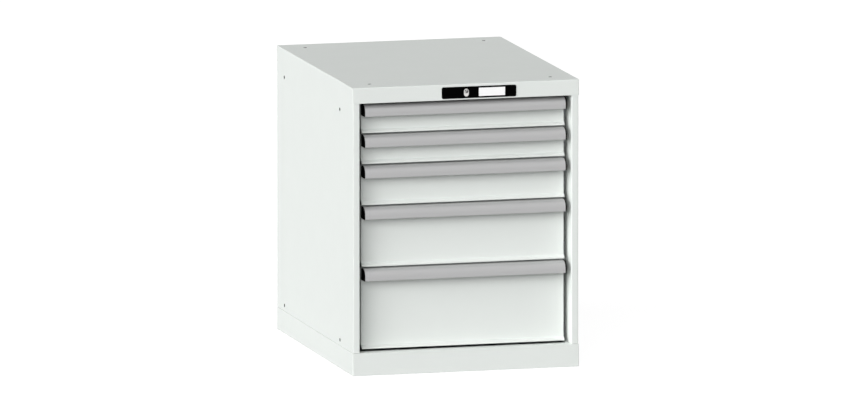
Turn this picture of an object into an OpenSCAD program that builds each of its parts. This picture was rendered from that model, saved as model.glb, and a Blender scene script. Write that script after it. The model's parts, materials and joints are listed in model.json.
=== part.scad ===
// Workshop drawer cabinet: a sheet-steel housing on a plinth, with five full-extension
// drawers on roller runners and one central lock. Sizes are in millimetres.
// Z is up, the front faces -Y, and the origin is on the floor under the housing's middle.

/* [Housing] */
// overall width, across the cover and the plinth
body_w = 564; // [520:1:700]
// overall depth, across the cover and the plinth
body_d = 725; // [690:1:800]
// height of the plinth
plinth_h = 55; // [40:1:120]
// height of the cover's skirt
cover_h = 38; // [38:1:60]
// thickness of the housing's sheet steel
sheet_t = 1.25; // [0.8:0.05:1.5]
// width of each front post
post_w = 17; // [15:0.5:30]
// depth of each post's inner face
jamb_d = 60; // [30:1:70]
// depth of the ledge along the front of the plinth
ledge_d = 30; // [20:1:50]
// width of the folded edges around the plinth and behind the sides
fold_w = 25; // [20:1:40]
// gap between the plinth and the lowest drawer's cell
bottom_gap = 5; // [3:0.5:15]
// gap between the highest drawer's cell and the cover
top_gap = 2; // [1:0.5:8]
// seam between the plinth and the sheets over it
seam = 0.8; // [0.2:0.1:1]

/* [Fixing holes] */
// diameter of the fixing holes in the cover and the sides
fix_hole_d = 9; // [6:0.5:11]
// centre of the top holes to the side edges
top_hole_x = 57; // [40:1:120]
// centre of the top holes to the front and rear edges
top_hole_y = 56.5; // [40:0.5:120]
// centre of the side holes to the front edge
side_hole_front = 125; // [115:1:160]
// centre of the side holes to the rear edge
side_hole_rear = 69; // [40:1:80]
// centre of the side holes to the top and to the floor
side_hole_z = 69; // [69:1:150]

/* [Uprights] */
// width of each slotted upright
upright_w = 30; // [20:1:40]
// front upright's distance behind the runners' front end
upright_front = 15; // [8:1:40]
// rear upright's distance ahead of the runners' rear end
upright_rear = 40; // [20:1:120]
// height of the hook slots
slot_h = 12; // [10:0.5:14]
// width of the hook slots
slot_w = 4; // [3:0.5:8]
// spacing of the hook slots
slot_pitch = 25; // [20:1:40]
// first slot above the bottom of each cell
slot_lift = 19; // [16:0.5:22]
// play around a hook in its slot
hook_play = 0.5; // [0.2:0.1:1]
// reach of the hooks behind the upright's face
hook_reach = 6; // [4:0.5:10]

/* [Drawers] */
// height of the top drawer's cell
drawer_1_h = 75; // [75:25:300]
// height of the second drawer's cell
drawer_2_h = 75; // [75:25:300]
// height of the third drawer's cell
drawer_3_h = 100; // [75:25:300]
// height of the fourth drawer's cell
drawer_4_h = 150; // [75:25:300]
// height of the bottom drawer's cell
drawer_5_h = 200; // [75:25:300]
// how far each drawer pulls out
travel = 600; // [400:5:605]
// drawer front behind the front of the posts
front_setback = 32; // [32:0.5:40]
// gap between a drawer front and each post
front_gap = 11.25; // [9:0.25:14]
// gap between a drawer front and the top of its cell
cell_gap = 2.5; // [2:0.25:3.5]
// gap between a drawer front's lip and the bottom of its cell
lip_gap = 1; // [0.5:0.25:3]
// thickness of the drawer front's sheet
front_t = 1.25; // [0.8:0.05:2]
// how far the lip under a drawer front reaches forward
lip_reach = 8; // [5:0.5:20]
// fall of the lip's slope
lip_fall = 5.5; // [3:0.5:10]
// height of the lip's upright edge
lip_edge = 3.5; // [2:0.5:6]
// depth of the folds behind the front's ends and top
front_fold = 15; // [8:1:18]
// thickness of the tray's sheet
tray_t = 1; // [0.7:0.1:1.5]
// underside of the tray above the bottom of its cell
tray_lift = 6; // [4:0.5:9]
// rim of the tray under the top of its cell
tray_drop = 14; // [8:0.5:20]
// room between the trays and the rear panel
rear_room = 63; // [60:1:90]

/* [Handles] */
// height of the handle
handle_h = 28.5; // [26:0.5:34]
// reach of the handle ahead of the drawer front
handle_d = 30; // [26:0.5:31]
// radius of the handle's rounded top
handle_r = 20; // [8:0.5:24]
// wall of the handle
handle_t = 2.2; // [1.5:0.1:3]
// thickness of each end cap
cap_t = 3; // [2:0.5:6]

/* [Runners] */
// diameter of the rollers
roller_d = 22; // [18:0.5:24]
// width of the rollers
roller_w = 8; // [6:0.5:10]
// diameter of the roller pins
pin_d = 6; // [4:0.5:8]
// radial clearance of a roller on its pin
pin_fit = 0.05; // [0.01:0.01:0.1]
// gap between a roller and each flange of its rail
roller_gap = 0.3; // [0.3:0.05:0.6]
// gap at each side of a roller on its pin
side_gap = 0.4; // [0.3:0.1:0.8]
// thickness of each pin's head
head_t = 1; // [0.8:0.1:2]
// diameter of each pin's head
head_d = 9; // [8.5:0.5:12]
// gap between a pin's head and the rail's web
web_gap = 2.6; // [1:0.1:4]
// thickness of the rails
rail_t = 2; // [1.5:0.1:3]
// thickness of the carriage bars
carriage_t = 3; // [2:0.1:4]
// height of the carriage bars
carriage_h = 20; // [12:0.5:24]
// gap between a carriage bar and the rails' flanges
bar_gap = 0.7; // [0.4:0.1:1]
// underside of the rails above the bottom of the cell
rail_lift = 12; // [10:0.5:14]
// front end of the cabinet rails behind the tray's front
rail_setback = 28; // [22:1:40]
// rear end of the cabinet rails behind the tray
rail_over = 18; // [10:1:22]
// front end of the drawer rails behind the tray's front
drawer_rail_setback = 22; // [20:1:40]
// length of the glide lugs on the carriages
lug_l = 20; // [12:1:30]
// reach of the glide lugs into the rails
lug_reach = 6; // [4:0.5:8]
// gap between a glide lug and each flange
lug_gap = 0.4; // [0.3:0.05:0.8]
// lug and front roller from the end of the rail
runner_end = 16; // [14:1:24]
// rear roller from the rear end of the cabinet rail
rear_roller_end = 40; // [20:1:80]
// carriage bar past its outer rollers
carriage_over = 13; // [11:1:14]

/* [Lock] */
// centre of the lock under the cover's top
lock_drop = 17.4; // [16.6:0.1:18]
// width of the lock plate
lock_plate_w = 185; // [120:1:240]
// height of the lock plate
lock_plate_h = 28.2; // [24:0.1:32]
// thickness of the lock plate
lock_plate_t = 1.2; // [0.8:0.1:3]
// corner radius of the lock plate
lock_plate_r = 4; // [1:0.5:6]
// middle of the lock plate to the right of the lock
lock_plate_x = 32; // [0:0.5:60]
// middle of the lock plate under the cover's top
lock_plate_drop = 20.5; // [19:0.1:22]
// width of the label card
label_w = 65.8; // [40:0.1:80]
// height of the label card
label_h = 20.4; // [10:0.1:24]
// thickness of the label card
label_t = 0.4; // [0.3:0.1:1]
// middle of the label card to the right of the lock
label_x = 64; // [50:0.1:80]
// width of the lock's oval face
face_w = 12; // [11.6:0.1:16]
// height of the lock's oval face
face_h = 18.8; // [17:0.1:22]
// thickness of the lock's oval face
face_t = 2; // [1:0.1:4]
// diameter of the lock's barrel
barrel_d = 10.6; // [10.2:0.1:11.2]
// length of the barrel behind the cover's front
barrel_l = 22; // [15:0.5:40]
// play between the barrel and the sheets around it
barrel_play = 0.3; // [0.1:0.05:0.6]
// diameter of the lock's plug
plug_d = 9; // [8.6:0.1:9.6]
// plug's face behind the lock's oval face
plug_setback = 5; // [1:0.5:8]
// radial clearance of the plug and of the rod in their bearings
lock_fit = 0.05; // [0.01:0.01:0.1]
// width of the keyway
key_w = 2; // [1.2:0.1:3]
// height of the keyway
key_h = 5.6; // [4:0.1:7]
// depth of the keyway
key_depth = 8; // [4:0.5:14]
// slant of the keyway, counter-clockwise from upright
key_slant = 27; // [0:1:60]
// diameter of the rod to the rear
rod_d = 8; // [6:0.5:10]
// radius of the crank
crank_r = 10; // [8:0.1:10]
// thickness of the crank
crank_t = 5; // [3:0.5:8]
// diameter of the crank's hub
hub_d = 14; // [12:0.5:16]
// width of the crank's arm
arm_w = 8; // [6:0.5:10.5]
// rim of the crank's eye past each side of the arm
eye_rim = 0.75; // [0.5:0.25:2]
// diameter of the crank's pin
crank_pin_d = 5; // [3:0.5:6]
// play of the crank's pin in the bar's slot
crank_play = 0.7; // [0.6:0.05:1]
// crank's angle above level when unlocked
crank_angle = 45; // [40:1:50]

/* [Locking bar] */
// width of the locking bar
lock_bar_w = 24; // [18:0.5:30]
// thickness of the locking bar
lock_bar_t = 3; // [2:0.1:5]
// middle of the locking bar ahead of the rear panel
lock_bar_room = 32.5; // [28:0.5:36]
// gap between the crank and the locking bar
crank_gap = 5; // [2:0.5:8]
// margin of the bar around the pin's slot, and of the pin past the bar
bar_margin = 3; // [2:0.5:5]
// reach of the bar's lugs past its edge
bar_lug = 16; // [12:0.5:24]
// height of the bar's lugs
bar_lug_h = 8; // [5:0.5:10]
// gap between the bar's edge and the catches behind the trays
catch_room = 4; // [2:0.5:6]
// sheet of the catches
catch_t = 2; // [1.5:0.1:3]
// height of the catches
catch_h = 10; // [8:0.5:11]
// underside of the catches above the bottom of the cell
catch_lift = 15; // [12:0.5:17]
// gap between a locked lug and its catch
catch_gap = 2; // [1:0.5:4]
// gap between a guide and the bar
guide_gap = 0.4; // [0.3:0.05:0.8]
// wall of the guides around the bar
guide_t = 4; // [2:0.5:6]
// height of the guides
guide_h = 12; // [8:0.5:14]
// underside of the guides above the bottom of the cell
guide_lift = 50; // [47:0.5:54]
// thickness of the rod's rear bracket
bracket_t = 3; // [2:0.1:5]
// width of the rod's rear bracket
bracket_w = 30; // [20:1:50]
// depth of the bracket's flange under the cover
bracket_flange = 14; // [8:1:30]
// bracket ahead of the crank
bracket_gap = 8; // [3:0.5:20]

/* [Screws] */
// diameter of the screws in the rear panel
screw_d = 4; // [3:0.5:5]
// diameter of the screw heads
screw_head_d = 8; // [7:0.5:10]
// height of the screw heads
screw_head_t = 1; // [0.6:0.1:1.2]
// length of the screws
screw_l = 8; // [5:0.5:16]
// radial clearance of the screw holes
screw_play = 0.2; // [0.1:0.05:0.4]
// first and last screws from the plinth and the cover
screw_end = 35; // [25:1:80]

/* [Hidden] */
$fn = 48;
cut = 1;
drawer_count = 5;
screws_per_side = 4;
cell_heights = [drawer_1_h, drawer_2_h, drawer_3_h, drawer_4_h, drawer_5_h];
function height_below(n) = n >= drawer_count ? 0 : cell_heights[n] + height_below(n + 1);
function cell_bottom(n) = plinth_h + bottom_gap + height_below(n);
function cell_top(n) = cell_bottom(n) + cell_heights[n - 1];
body_h = plinth_h + bottom_gap + height_below(0) + top_gap + cover_h;
top_in = body_h - sheet_t;

side_out = body_w / 2 - sheet_t;
side_in = side_out - sheet_t;
post_in = side_out - post_w;
front_y = -body_d / 2 + sheet_t;
rear_in = body_d / 2 - 2 * sheet_t;
rear_out = rear_in + sheet_t;

panel_y = front_y + front_setback;
front_half = post_in - front_gap;
lip_angle = atan2(lip_fall, lip_reach);
lip_mitre = front_t * tan((90 - lip_angle) / 2);

runner_stack = side_gap + roller_w + side_gap + head_t + web_gap;
flange_l = runner_stack - bar_gap;
rail_h = roller_d + 2 * roller_gap + 2 * rail_t;
carriage_out = post_in - rail_t - runner_stack;
carriage_in = carriage_out - carriage_t;
tray_half = carriage_in - runner_stack - rail_t;
tray_y0 = panel_y + front_t;
tray_y1 = rear_in - rear_room;
rail_y0 = tray_y0 + rail_setback;
rail_y1 = tray_y1 + rail_over;
drawer_rail_y0 = tray_y0 + drawer_rail_setback;
drawer_rail_y1 = tray_y1;
front_roller_y = drawer_rail_y0 + runner_end;
rear_roller_y = rail_y1 - rear_roller_end;
outer_lug_y = rail_y0 + travel / 2 + runner_end;
inner_lug_y = drawer_rail_y1 - travel / 2 - runner_end;
function runner_z(n) = cell_bottom(n) + rail_lift + rail_h / 2;

front_upright_y = rail_y0 + upright_front;
rear_upright_y = rail_y1 - upright_rear - upright_w;
function slot_z(n) = cell_bottom(n) + slot_lift;
hook_h = slot_h - 2 * hook_play;
hook_w = slot_w - 2 * hook_play;

lock_z = body_h - lock_drop;
lock_plate_z = body_h - lock_plate_drop;
lock_face_y = -body_d / 2 - lock_plate_t;
face_front_y = lock_face_y - face_t;
plug_front_y = face_front_y + plug_setback;
plug_rear_y = -body_d / 2 + barrel_l;
lock_bar_y = rear_in - lock_bar_room;
lock_bar_front = lock_bar_y - lock_bar_t / 2;
lock_bar_rear = lock_bar_y + lock_bar_t / 2;
crank_y = lock_bar_front - crank_gap - crank_t;
crank_pin_x = crank_r * cos(crank_angle);
crank_rise = crank_r * sin(crank_angle);
crank_pin_z = lock_z + crank_rise;
lock_stroke = 2 * crank_rise;
pin_slot_h = crank_pin_d + 2 * crank_play;
bar_top = crank_pin_z + pin_slot_h / 2 + bar_margin;
bar_right = crank_r + pin_slot_h / 2 + bar_margin;
bar_left = bar_right - lock_bar_w;
lug_lift = catch_lift + catch_t + lock_stroke + cut;
screw_x = side_out - fold_w / 2;
screw_z0 = plinth_h + screw_end;
screw_step = (body_h - cover_h - plinth_h - 2 * screw_end) / (screws_per_side - 1);

paint = [0.86, 0.88, 0.86];
alloy = [0.72, 0.72, 0.73];
black = [0.03, 0.03, 0.03];
zinc = [0.62, 0.64, 0.66];
nickel = [0.75, 0.75, 0.74];
card = [0.97, 0.97, 0.97];

// the same thing on the right and mirrored on the left
module both_sides() {
    children();
    mirror([1, 0, 0]) children();
}

// a plan drawn in Y and Z, run along X over a length centred on the middle
module across(length) {
    translate([-length / 2, 0, 0]) rotate([90, 0, 90]) linear_extrude(length) children();
}

// a plan drawn in X and Z, run along Y between two places
module along(y0, y1) {
    translate([0, y1, 0]) rotate([90, 0, 0]) linear_extrude(y1 - y0) children();
}

// a box between two corners
module box(low, high) {
    translate(low) cube(high - low);
}

module top_cover() {
    skirt_z = body_h - cover_h;
    color(paint) difference() {
        box([-body_w / 2, -body_d / 2, skirt_z], [body_w / 2, body_d / 2, body_h]);
        box([-side_out, front_y, skirt_z - cut], [side_out, rear_out, top_in]);
        for (x = [-1, 1], y = [-1, 1]) {
            translate([x * (body_w / 2 - top_hole_x), y * (body_d / 2 - top_hole_y), top_in - cut])
                cylinder(d = fix_hole_d, h = sheet_t + 2 * cut);
        }
        lock_hole();
    }
}

// the round way for the barrel through the cover's front and the lock plate
module lock_hole() {
    translate([0, front_y + cut, lock_z]) rotate([90, 0, 0])
        cylinder(d = barrel_d + 2 * barrel_play, h = sheet_t + lock_plate_t + 2 * cut);
}

// seen from above: the right side with its post, jamb and rear fold
module side_plan() {
    polygon([
        [post_in, front_y + jamb_d],
        [post_in, front_y],
        [side_out, front_y],
        [side_out, rear_in],
        [side_out - fold_w, rear_in],
        [side_out - fold_w, rear_in - sheet_t],
        [side_in, rear_in - sheet_t],
        [side_in, front_y + sheet_t],
        [post_in + sheet_t, front_y + sheet_t],
        [post_in + sheet_t, front_y + jamb_d]
    ]);
}

module side_panel() {
    color(paint) difference() {
        translate([0, 0, plinth_h + seam]) linear_extrude(top_in - plinth_h - seam) side_plan();
        for (y = [side_hole_front - body_d / 2, body_d / 2 - side_hole_rear]) {
            for (z = [side_hole_z, body_h - side_hole_z]) {
                translate([side_in - cut, y, z]) rotate([0, 90, 0])
                    cylinder(d = fix_hole_d, h = sheet_t + 2 * cut);
            }
        }
        screw_row() screw_hole();
    }
}

module right_side_panel() {
    side_panel();
}

module left_side_panel() {
    mirror([1, 0, 0]) side_panel();
}

// places of the rear panel's screws on the right
module screw_row() {
    for (i = [0 : screws_per_side - 1]) {
        translate([screw_x, rear_out, screw_z0 + i * screw_step]) rotate([90, 0, 0]) children();
    }
}

module screw_hole() {
    translate([0, 0, -cut]) cylinder(d = screw_d + 2 * screw_play, h = 2 * sheet_t + 2 * cut);
}

module rear_panel() {
    color(paint) difference() {
        box([-side_out, rear_in, plinth_h + seam], [side_out, rear_out, top_in]);
        both_sides() screw_row() screw_hole();
    }
}

module rear_screws() {
    color(zinc) both_sides() screw_row() {
        cylinder(d = screw_d, h = screw_l);
        translate([0, 0, -screw_head_t]) cylinder(d = screw_head_d, h = screw_head_t);
    }
}

module base_frame() {
    color(paint) difference() {
        box([-body_w / 2, -body_d / 2, 0], [body_w / 2, body_d / 2, plinth_h]);
        box([-side_out, front_y, sheet_t], [side_out, rear_out, plinth_h - sheet_t]);
        box(
            [-body_w / 2 + fold_w, -body_d / 2 + ledge_d, plinth_h - sheet_t - cut],
            [body_w / 2 - fold_w, body_d / 2 - fold_w, plinth_h + cut]
        );
        box(
            [-body_w / 2 + fold_w, -body_d / 2 + fold_w, -cut],
            [body_w / 2 - fold_w, body_d / 2 - fold_w, sheet_t + cut]
        );
    }
}

module floor_panel() {
    color(paint) box([-side_out, front_y, sheet_t], [side_out, rear_out, 2 * sheet_t]);
}

// one slotted upright on the right, with its front edge at y0
module upright(y0) {
    y1 = y0 + upright_w;
    difference() {
        box([post_in, y0, plinth_h], [side_in, y1, top_in]);
        box(
            [post_in + sheet_t, y0 + sheet_t, plinth_h - cut],
            [side_in + cut, y1 - sheet_t, top_in + cut]
        );
        for (n = [1 : drawer_count], i = [0 : floor(cell_heights[n - 1] / slot_pitch) - 1]) {
            translate([post_in - cut, y0 + (upright_w - slot_w) / 2, slot_z(n) + i * slot_pitch])
                cube([sheet_t + 2 * cut, slot_w, slot_h]);
        }
    }
}

module right_uprights() {
    color(paint) {
        upright(front_upright_y);
        upright(rear_upright_y);
    }
}

module left_uprights() {
    mirror([1, 0, 0]) right_uprights();
}

// section of a C rail with its web at x0, opening towards +X
module rail_section(x0) {
    difference() {
        translate([x0, 0]) square([rail_t + flange_l, rail_h]);
        translate([x0 + rail_t, rail_t]) square([flange_l + cut, rail_h - 2 * rail_t]);
    }
}

module right_cabinet_rails() {
    color(zinc) for (n = [1 : drawer_count]) {
        translate([0, 0, cell_bottom(n) + rail_lift])
            along(rail_y0, rail_y1) mirror([1, 0]) rail_section(-post_in);
        for (y = [front_upright_y, rear_upright_y]) {
            translate([post_in - cut, y + (upright_w - hook_w) / 2, slot_z(n) + hook_play])
                cube([hook_reach + cut, hook_w, hook_h]);
        }
    }
}

module left_cabinet_rails() {
    mirror([1, 0, 0]) right_cabinet_rails();
}

module lock_plate() {
    x1 = lock_plate_w / 2 - lock_plate_r;
    z1 = lock_plate_h / 2 - lock_plate_r;
    color(black) difference() {
        along(lock_face_y, -body_d / 2) translate([lock_plate_x, lock_plate_z]) {
            square([lock_plate_w, 2 * z1], center = true);
            square([2 * x1, lock_plate_h], center = true);
            for (x = [-x1, x1], z = [-z1, z1]) {
                translate([x, z]) circle(lock_plate_r);
            }
        }
        lock_hole();
    }
}

module label_card() {
    color(card) along(lock_face_y - label_t, lock_face_y) translate([label_x, lock_plate_z])
        square([label_w, label_h], center = true);
}

module lock_barrel() {
    face_c = face_h - face_w;
    color(nickel) translate([0, 0, lock_z]) difference() {
        union() {
            along(face_front_y, lock_face_y) {
                circle(d = face_w);
                translate([0, -face_c]) circle(d = face_w);
                translate([-face_w / 2, -face_c]) square([face_w, face_c]);
            }
            along(lock_face_y - face_t / 2, plug_rear_y) circle(d = barrel_d);
        }
        along(face_front_y - cut, plug_rear_y + cut) circle(d = plug_d + 2 * lock_fit);
    }
}

module lock_plug() {
    color(nickel) translate([0, 0, lock_z]) difference() {
        along(plug_front_y, plug_rear_y) circle(d = plug_d);
        along(plug_front_y - cut, plug_front_y + key_depth)
            rotate(key_slant) square([key_w, key_h], center = true);
    }
}

module lock_rod() {
    pin_end = lock_bar_rear + bar_margin;
    color(zinc) translate([0, 0, lock_z]) {
        along(plug_rear_y, crank_y + crank_t) circle(d = rod_d);
        along(crank_y, crank_y + crank_t) {
            circle(d = hub_d);
            rotate(crank_angle) translate([0, -arm_w / 2]) square([crank_r, arm_w]);
            translate([crank_pin_x, crank_rise]) circle(d = arm_w + 2 * eye_rim);
        }
        along(crank_y + crank_t / 2, pin_end)
            translate([crank_pin_x, crank_rise]) circle(d = crank_pin_d);
    }
}

// the way of the crank's pin through the bar
module pin_slot() {
    translate([crank_pin_x, crank_pin_z]) circle(d = pin_slot_h);
    translate([crank_r, crank_pin_z]) circle(d = pin_slot_h);
    translate([crank_pin_x, crank_pin_z - pin_slot_h / 2]) square([crank_r - crank_pin_x, pin_slot_h]);
}

module locking_bar() {
    low = cell_bottom(drawer_count) + lug_lift;
    color(zinc) along(lock_bar_front, lock_bar_rear) difference() {
        union() {
            translate([bar_left, low]) square([lock_bar_w, bar_top - low]);
            for (n = [1 : drawer_count]) {
                translate([bar_left, cell_bottom(n) + lug_lift]) square([lock_bar_w + bar_lug, bar_lug_h]);
            }
        }
        pin_slot();
    }
}

module bar_guides() {
    x0 = bar_left - guide_gap;
    x1 = bar_right + guide_gap;
    y0 = lock_bar_front - guide_gap;
    y1 = lock_bar_rear + guide_gap;
    color(zinc) for (n = [1 : 2 : drawer_count]) {
        translate([0, 0, cell_bottom(n) + guide_lift]) difference() {
            box([x0 - guide_t, y0 - guide_t, 0], [x1 + guide_t, rear_in, guide_h]);
            box([x0, y0, -cut], [x1, y1, guide_h + cut]);
        }
    }
}

module rod_bracket() {
    y1 = crank_y - bracket_gap;
    y0 = y1 - bracket_t;
    low = lock_z - hub_d / 2;
    color(zinc) difference() {
        union() {
            box([-bracket_w / 2, y0, low], [bracket_w / 2, y1, top_in]);
            box([-bracket_w / 2, y1 - bracket_flange, top_in - bracket_t], [bracket_w / 2, y1, top_in]);
        }
        translate([0, 0, lock_z]) along(y0 - cut, y1 + cut) circle(d = rod_d + 2 * lock_fit);
    }
}

module drawer_tray(n) {
    low = cell_bottom(n) + tray_lift;
    high = cell_top(n) - tray_drop;
    x0 = bar_right + catch_room;
    x1 = bar_right + bar_lug;
    y0 = lock_bar_rear + catch_gap;
    y1 = y0 + catch_t;
    z0 = cell_bottom(n) + catch_lift;
    color(paint) {
        difference() {
            box([-tray_half, tray_y0, low], [tray_half, tray_y1, high]);
            box(
                [-tray_half + tray_t, tray_y0 + tray_t, low + tray_t],
                [tray_half - tray_t, tray_y1 - tray_t, high + cut]
            );
        }
        box([x0, tray_y1 - tray_t, z0], [x1, y1, z0 + catch_t]);
        box([x0, y0, z0], [x1, y1, z0 + catch_h]);
    }
}

// seen from the right: the sheet of a drawer front with its lip
module front_section(low, high) {
    lip_y = panel_y - lip_reach;
    lip_z = low + lip_edge;
    crease = lip_z + lip_fall;
    polygon([
        [panel_y, high],
        [panel_y, crease],
        [lip_y, lip_z],
        [lip_y, low],
        [lip_y + front_t, low],
        [lip_y + front_t, lip_z - lip_mitre],
        [panel_y + front_t, crease - lip_mitre],
        [panel_y + front_t, high]
    ]);
}

module drawer_front(n) {
    low = cell_bottom(n) + lip_gap;
    high = cell_top(n) - cell_gap;
    fold_low = low + lip_edge + lip_fall;
    fold_y = panel_y + front_fold;
    color(paint) {
        across(2 * front_half) front_section(low, high);
        both_sides() box([front_half - front_t, panel_y, fold_low], [front_half, fold_y, high]);
        box([-front_half, panel_y, high - front_t], [front_half, fold_y, high]);
    }
}

// seen from the right: the outline of the handle and its end caps, ahead of the drawer front
module handle_outline(high, inset) {
    low = high - handle_h;
    nose = handle_d - inset;
    arc = handle_r - inset;
    arc_y = panel_y - handle_d + handle_r;
    arc_z = high - handle_r;
    bottom = low - (inset > 0 ? cut : 0);
    intersection() {
        union() {
            translate([arc_y, arc_z]) circle(arc);
            translate([panel_y - nose, bottom]) square([nose - inset, arc_z - bottom]);
            translate([arc_y, bottom]) square([panel_y - inset - arc_y, high - inset - bottom]);
        }
        translate([panel_y - handle_d, bottom]) square([handle_d - inset, high - bottom]);
    }
}

module drawer_handle(n) {
    high = cell_top(n) - cell_gap;
    color(alloy) across(2 * (front_half - cap_t)) difference() {
        handle_outline(high, 0);
        handle_outline(high, handle_t);
    }
}

module drawer_end_caps(n) {
    high = cell_top(n) - cell_gap;
    color(black) both_sides() translate([front_half - cap_t / 2, 0, 0])
        across(cap_t) handle_outline(high, 0);
}

module drawer_rails(n) {
    color(zinc) both_sides() translate([0, 0, cell_bottom(n) + rail_lift])
        along(drawer_rail_y0, drawer_rail_y1) rail_section(tray_half);
}

// a pin with its head, standing on the bar and pointing along +Z
module roller_pin() {
    reach = 2 * side_gap + roller_w;
    translate([0, 0, -carriage_t / 2]) cylinder(d = pin_d, h = carriage_t / 2 + reach + head_t);
    translate([0, 0, reach]) cylinder(d = head_d, h = head_t);
}

module drawer_carriages(n) {
    y0 = front_roller_y - carriage_over;
    y1 = rear_roller_y + carriage_over;
    z = runner_z(n);
    lug = roller_d / 2 + roller_gap - lug_gap;
    color(zinc) both_sides() {
        box([carriage_in, y0, z - carriage_h / 2], [carriage_out, y1, z + carriage_h / 2]);
        translate([carriage_in, front_roller_y, z]) rotate([0, -90, 0]) roller_pin();
        translate([carriage_out, rear_roller_y, z]) rotate([0, 90, 0]) roller_pin();
        box(
            [carriage_in - lug_reach, inner_lug_y - lug_l / 2, z - lug],
            [carriage_in + carriage_t / 2, inner_lug_y + lug_l / 2, z + lug]
        );
        box(
            [carriage_out - carriage_t / 2, outer_lug_y - lug_l / 2, z - lug],
            [carriage_out + lug_reach, outer_lug_y + lug_l / 2, z + lug]
        );
    }
}

// a roller lying along +X from the origin
module roller() {
    rotate([0, 90, 0]) difference() {
        cylinder(d = roller_d, h = roller_w);
        translate([0, 0, -cut]) cylinder(d = pin_d + 2 * pin_fit, h = roller_w + 2 * cut);
    }
}

module drawer_front_rollers(n) {
    color(zinc) both_sides()
        translate([carriage_in - side_gap - roller_w, front_roller_y, runner_z(n)]) roller();
}

module drawer_rear_rollers(n) {
    color(zinc) both_sides() translate([carriage_out + side_gap, rear_roller_y, runner_z(n)]) roller();
}

function drawer_node(n, piece) = str("drawer_", n, "_", piece);
drawer_pieces = [
    "tray", "front", "handle", "end_caps",
    "rails", "carriages", "front_rollers", "rear_rollers"
];
housing_nodes = [
    "top_cover", "left_side_panel", "right_side_panel", "rear_panel", "rear_screws",
    "base_frame", "floor_panel", "left_uprights", "right_uprights",
    "left_cabinet_rails", "right_cabinet_rails",
    "lock_plate", "label_card", "lock_barrel", "lock_plug",
    "lock_rod", "locking_bar", "bar_guides", "rod_bracket"
];
drawer_nodes = [for (n = [1 : drawer_count], piece = drawer_pieces) drawer_node(n, piece)];

top_cover();
left_side_panel();
right_side_panel();
rear_panel();
rear_screws();
base_frame();
floor_panel();
left_uprights();
right_uprights();
left_cabinet_rails();
right_cabinet_rails();
lock_plate();
label_card();
lock_barrel();
lock_plug();
lock_rod();
locking_bar();
bar_guides();
rod_bracket();
for (n = [1 : drawer_count]) {
    drawer_tray(n);
    drawer_front(n);
    drawer_handle(n);
    drawer_end_caps(n);
    drawer_rails(n);
    drawer_carriages(n);
    drawer_front_rollers(n);
    drawer_rear_rollers(n);
}
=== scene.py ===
import json
import math

import bmesh
import bpy
from bpy.props import FloatProperty, FloatVectorProperty, IntProperty, PointerProperty
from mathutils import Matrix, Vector
from mathutils.bvhtree import BVHTree


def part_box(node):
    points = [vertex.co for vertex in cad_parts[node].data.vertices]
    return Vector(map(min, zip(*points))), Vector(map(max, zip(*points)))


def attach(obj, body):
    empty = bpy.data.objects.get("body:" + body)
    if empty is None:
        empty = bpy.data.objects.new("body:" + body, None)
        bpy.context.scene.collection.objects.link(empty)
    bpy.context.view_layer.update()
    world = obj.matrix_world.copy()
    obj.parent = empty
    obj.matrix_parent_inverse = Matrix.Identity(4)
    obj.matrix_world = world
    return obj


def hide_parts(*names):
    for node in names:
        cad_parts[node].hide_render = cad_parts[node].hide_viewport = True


bl_info = {
    "name": "Workshop drawer cabinet",
    "version": (1, 0, 0),
    "blender": (4, 5, 0),
    "location": "3D View > Sidebar > Cabinet",
    "description": "Dresses a drawer cabinet with soft edges, slots, rivets, screws and finishes",
    "category": "Object",
}

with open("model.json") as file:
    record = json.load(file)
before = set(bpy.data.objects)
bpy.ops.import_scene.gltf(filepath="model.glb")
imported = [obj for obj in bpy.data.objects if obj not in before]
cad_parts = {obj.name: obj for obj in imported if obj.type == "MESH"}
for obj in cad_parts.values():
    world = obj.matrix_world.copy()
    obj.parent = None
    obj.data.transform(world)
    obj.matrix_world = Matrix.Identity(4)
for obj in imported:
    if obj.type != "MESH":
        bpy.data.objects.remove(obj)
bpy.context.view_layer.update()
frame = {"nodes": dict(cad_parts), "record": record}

BODY_OF = {
    node: body
    for body, nodes in frame["record"]["behaviour"]["bodies"].items()
    for node in nodes
}
DRAWERS = range(1, 6)
MM_PER_M = 1000.0
X_AXIS, Y_AXIS, Z_AXIS = (Vector(axis) for axis in ((1, 0, 0), (0, 1, 0), (0, 0, 1)))
QUARTER_TURN = math.pi / 2

# corners that are one point, and the angles of edges that count as flat and as sharp
MERGE_DISTANCE = 1e-6
FLAT_ANGLE = math.radians(0.5)
SHARP_ANGLE = math.radians(35)
# a sheet is bent at an edge where both of its faces are flat this far from the edge
BEND_REACH = 0.003
# steps across a rounded edge
PLAIN_STEPS = 2
FINE_STEPS = 3
WEIGHT_LAYER = "bevel_weight_edge"
# sockets of the mix node that belong to colours
MIX_FACTOR, MIX_LOW, MIX_HIGH, MIX_RESULT = 0, 6, 7, 2

# sides of the small round pieces
ROUND_SIDES = 32
SHANK_SIDES = 24
DOME_SEGMENTS = 16
DOME_RINGS = 8
# thickness of the trays' sheet
TRAY_SHEET = 0.001
# a screw's flat crown, shank and recess as shares of the head's radius
SCREW_CROWN = 0.72
SCREW_SHANK = 0.5
RECESS_LENGTH = 1.1
RECESS_WIDTH = 0.24
# the cutter of the recess as a share of the head's height; half of it goes in
RECESS_CUTTER = 1.4
# rounding of the label's card as a share of the lock's, and of its rim as a share of the rim's height
CARD_ROUNDING = 0.25
RIM_ROUNDING = 1 / 3
# painted shade in the lock's keyway and bore: where it starts and is full behind a surface, and its
# colour
PAINTED_SHADE_START = 0.0001
PAINTED_SHADE_FULL = 0.0003
PAINTED_SHADE_COLOUR = (0.012, 0.012, 0.012, 1.0)

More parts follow.
